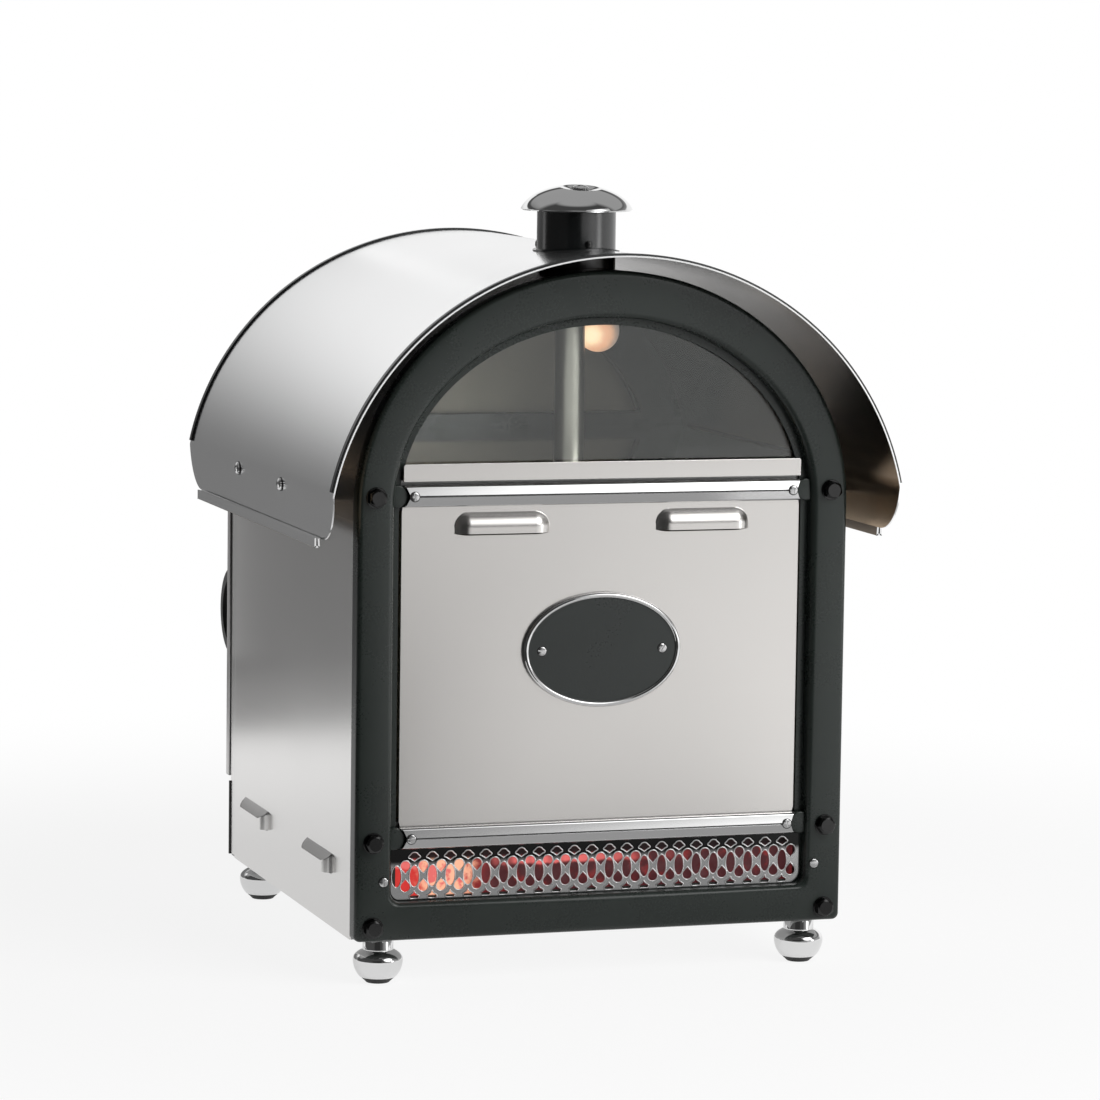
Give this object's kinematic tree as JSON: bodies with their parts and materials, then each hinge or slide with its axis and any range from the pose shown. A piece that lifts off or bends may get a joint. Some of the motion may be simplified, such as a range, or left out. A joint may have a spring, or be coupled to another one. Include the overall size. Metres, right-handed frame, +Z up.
{
  "type": "potato baker",
  "caption": "Counter-top potato baker: arched display oven under a separate barrel roof with a stub chimney, window front, rear doors, glowing grille and bun feet.",
  "frame": {"origin": "middle of the footprint on the surface the feet stand on, at the centre of the overall box", "axes": "+Z up, -Y towards the customer's side with the window, +X to the right seen from that side"},
  "size_m": [0.4648, 0.4727, 0.6185],
  "materials": {
    "cast_black": "satin black enamel on a cast frame, fine orange-peel",
    "blackened_steel": "oil-black fasteners, semi-gloss",
    "brushed_sheet": "stainless sheet brushed along its length",
    "roof_sheet": "fine-brushed stainless sheet with a satin sheen",
    "polished_steel": "polished stainless, mirror bright",
    "chrome": "bright chrome plate",
    "trim_black": "semi-gloss black enamel",
    "badge_enamel": "black stove enamel with a polished rim",
    "window_glass": "clear toughened glass with a grey-green cast",
    "seal_rubber": "matt black silicone",
    "glow_red": "heat-proof red screen, lit from behind",
    "lamp_glass": "lamp glass",
    "ceramic": "unglazed white ceramic",
    "zinc_sheet": "zinc-coated folded sheet",
    "oven_enamel": "dark grey vitreous enamel on sheet",
    "insulation_wool": "pressed mineral wool",
    "element_metal": "heat-oxidised tube",
    "black_plastic": "moulded black thermoset plastic, fine grain",
    "rocker_red": "translucent red plastic",
    "rocker_green": "translucent green plastic",
    "rope_gasket": "woven glass-fibre gasket"
  },
  "bodies": {
    "cabinet": {"front_frame": "cast_black", "frame_bolts": "blackened_steel", "front_screws": "polished_steel", "front_panel": "brushed_sheet", "upper_rail": "polished_steel", "lower_rail": "polished_steel", "sill_strip": "brushed_sheet", "cross_channels": "zinc_sheet", "badge_plate": "badge_enamel", "glow_grille": "polished_steel", "glow_screen": "glow_red", "glow_lamps": "lamp_glass", "front_glass": "window_glass", "glass_seal": "seal_rubber", "left_side_panel": "brushed_sheet", "right_side_panel": "brushed_sheet", "arch_shell": "brushed_sheet", "base_plate": "zinc_sheet", "bun_feet": "chrome", "foot_pads": "seal_rubber", "roof_canopy": "roof_sheet", "roof_front_trim": "trim_black", "roof_rear_trim": "trim_black", "roof_brackets": "zinc_sheet", "roof_screws": "polished_steel", "chimney_pipe": "trim_black", "chimney_collar": "trim_black", "chimney_cap": "chrome", "cap_bracket": "polished_steel", "flue_tube": "polished_steel", "display_floor": "polished_steel", "display_lamp": "lamp_glass", "lamp_holders": "ceramic", "oven_liner": "oven_enamel", "oven_insulation": "insulation_wool", "heating_elements": "element_metal", "shelf_runners": "zinc_sheet", "lower_shelf": "chrome", "upper_shelf": "chrome", "rear_frame": "cast_black", "control_panel": "trim_black", "thermostat_body": "zinc_sheet", "switch_housings": "black_plastic", "cable_gland": "black_plastic", "catch_magnets": "blackened_steel", "hinge_leaves": "blackened_steel", "hinge_pins": "polished_steel"},
    "oven_door": {"oven_door_skin": "brushed_sheet", "oven_door_liner": "polished_steel", "oven_door_insulation": "insulation_wool", "oven_door_seal": "rope_gasket", "oven_door_handle": "black_plastic", "oven_door_hinge_leaves": "blackened_steel"},
    "display_door": {"display_door_skin": "brushed_sheet", "display_door_liner": "polished_steel", "display_door_handle": "black_plastic", "display_door_hinge_leaves": "blackened_steel"},
    "thermostat_knob": {"thermostat_knob": "black_plastic"},
    "mains_rocker": {"mains_rocker": "rocker_red"},
    "light_rocker": {"light_rocker": "rocker_green"}
  },
  "joints": [
    {"name": "oven_door_hinge", "type": "hinge", "parent": "cabinet", "child": "oven_door", "pos_m": [0.207, 0.201, 0.239], "axis": [0, 0, -1], "range_deg": [0, 100]},
    {"name": "display_door_hinge", "type": "hinge", "parent": "cabinet", "child": "display_door", "pos_m": [0, 0.2132, 0.3975], "axis": [-1, 0, 0], "range_deg": [0, 80]},
    {"name": "thermostat_turn", "type": "hinge", "parent": "cabinet", "child": "thermostat_knob", "pos_m": [-0.12, 0.2, 0.068], "axis": [0, -1, 0], "range_deg": [0, 270]},
    {"name": "mains_rocker_tilt", "type": "hinge", "parent": "cabinet", "child": "mains_rocker", "pos_m": [0.01, 0.197, 0.068], "axis": [-1, 0, 0], "range_deg": [0, 16]},
    {"name": "light_rocker_tilt", "type": "hinge", "parent": "cabinet", "child": "light_rocker", "pos_m": [0.06, 0.197, 0.068], "axis": [-1, 0, 0], "range_deg": [0, 16]}
  ]
}
